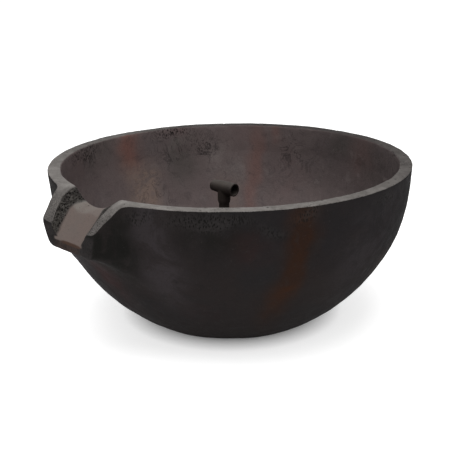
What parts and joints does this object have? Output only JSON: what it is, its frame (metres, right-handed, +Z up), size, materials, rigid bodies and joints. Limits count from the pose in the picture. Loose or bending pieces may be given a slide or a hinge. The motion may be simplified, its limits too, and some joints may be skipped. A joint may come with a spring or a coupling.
{
  "type": "spillway water bowl",
  "caption": "Round cast bowl with a notch spout in its wall, a bulkhead fitting through its floor, and a lift-out riser carrying a diffuser tee that turns.",
  "frame": {"origin": "on the floor, on the vertical axis of the supply fitting and riser, which is within 3 mm of the centre of the overall footprint; the bowl's own axis is 22.5 mm behind it, at +Y", "axes": "+Z up along the riser; the spout points along -Y; the tee's wide outlet faces +X at rest"},
  "size_m": [0.9133, 0.9637, 0.398],
  "materials": {
    "cast_concrete": "matte",
    "dark_plastic": "satin",
    "pale_plastic": "satin",
    "painted_pipe": "matte",
    "seal_rubber": "matte"
  },
  "bodies": {
    "bowl": {"bowl_shell": "cast_concrete", "bulkhead_body": "dark_plastic", "flange_gasket": "seal_rubber", "slip_washer": "pale_plastic", "lock_nut": "dark_plastic", "riser_adapter": "dark_plastic", "adapter_o_ring": "seal_rubber", "supply_adapter": "dark_plastic"},
    "riser": {"riser_pipe": "painted_pipe"},
    "tee": {"diffuser_tee": "painted_pipe"}
  },
  "joints": [
    {"name": "riser_lift", "type": "slide", "parent": "bowl", "child": "riser", "axis": [0, 0, 1], "range_m": [0, 0.3]},
    {"name": "tee_turn", "type": "hinge", "parent": "riser", "child": "tee", "pos_m": [0, 0, 0.3], "axis": [0, 0, 1], "continuous": true}
  ]
}
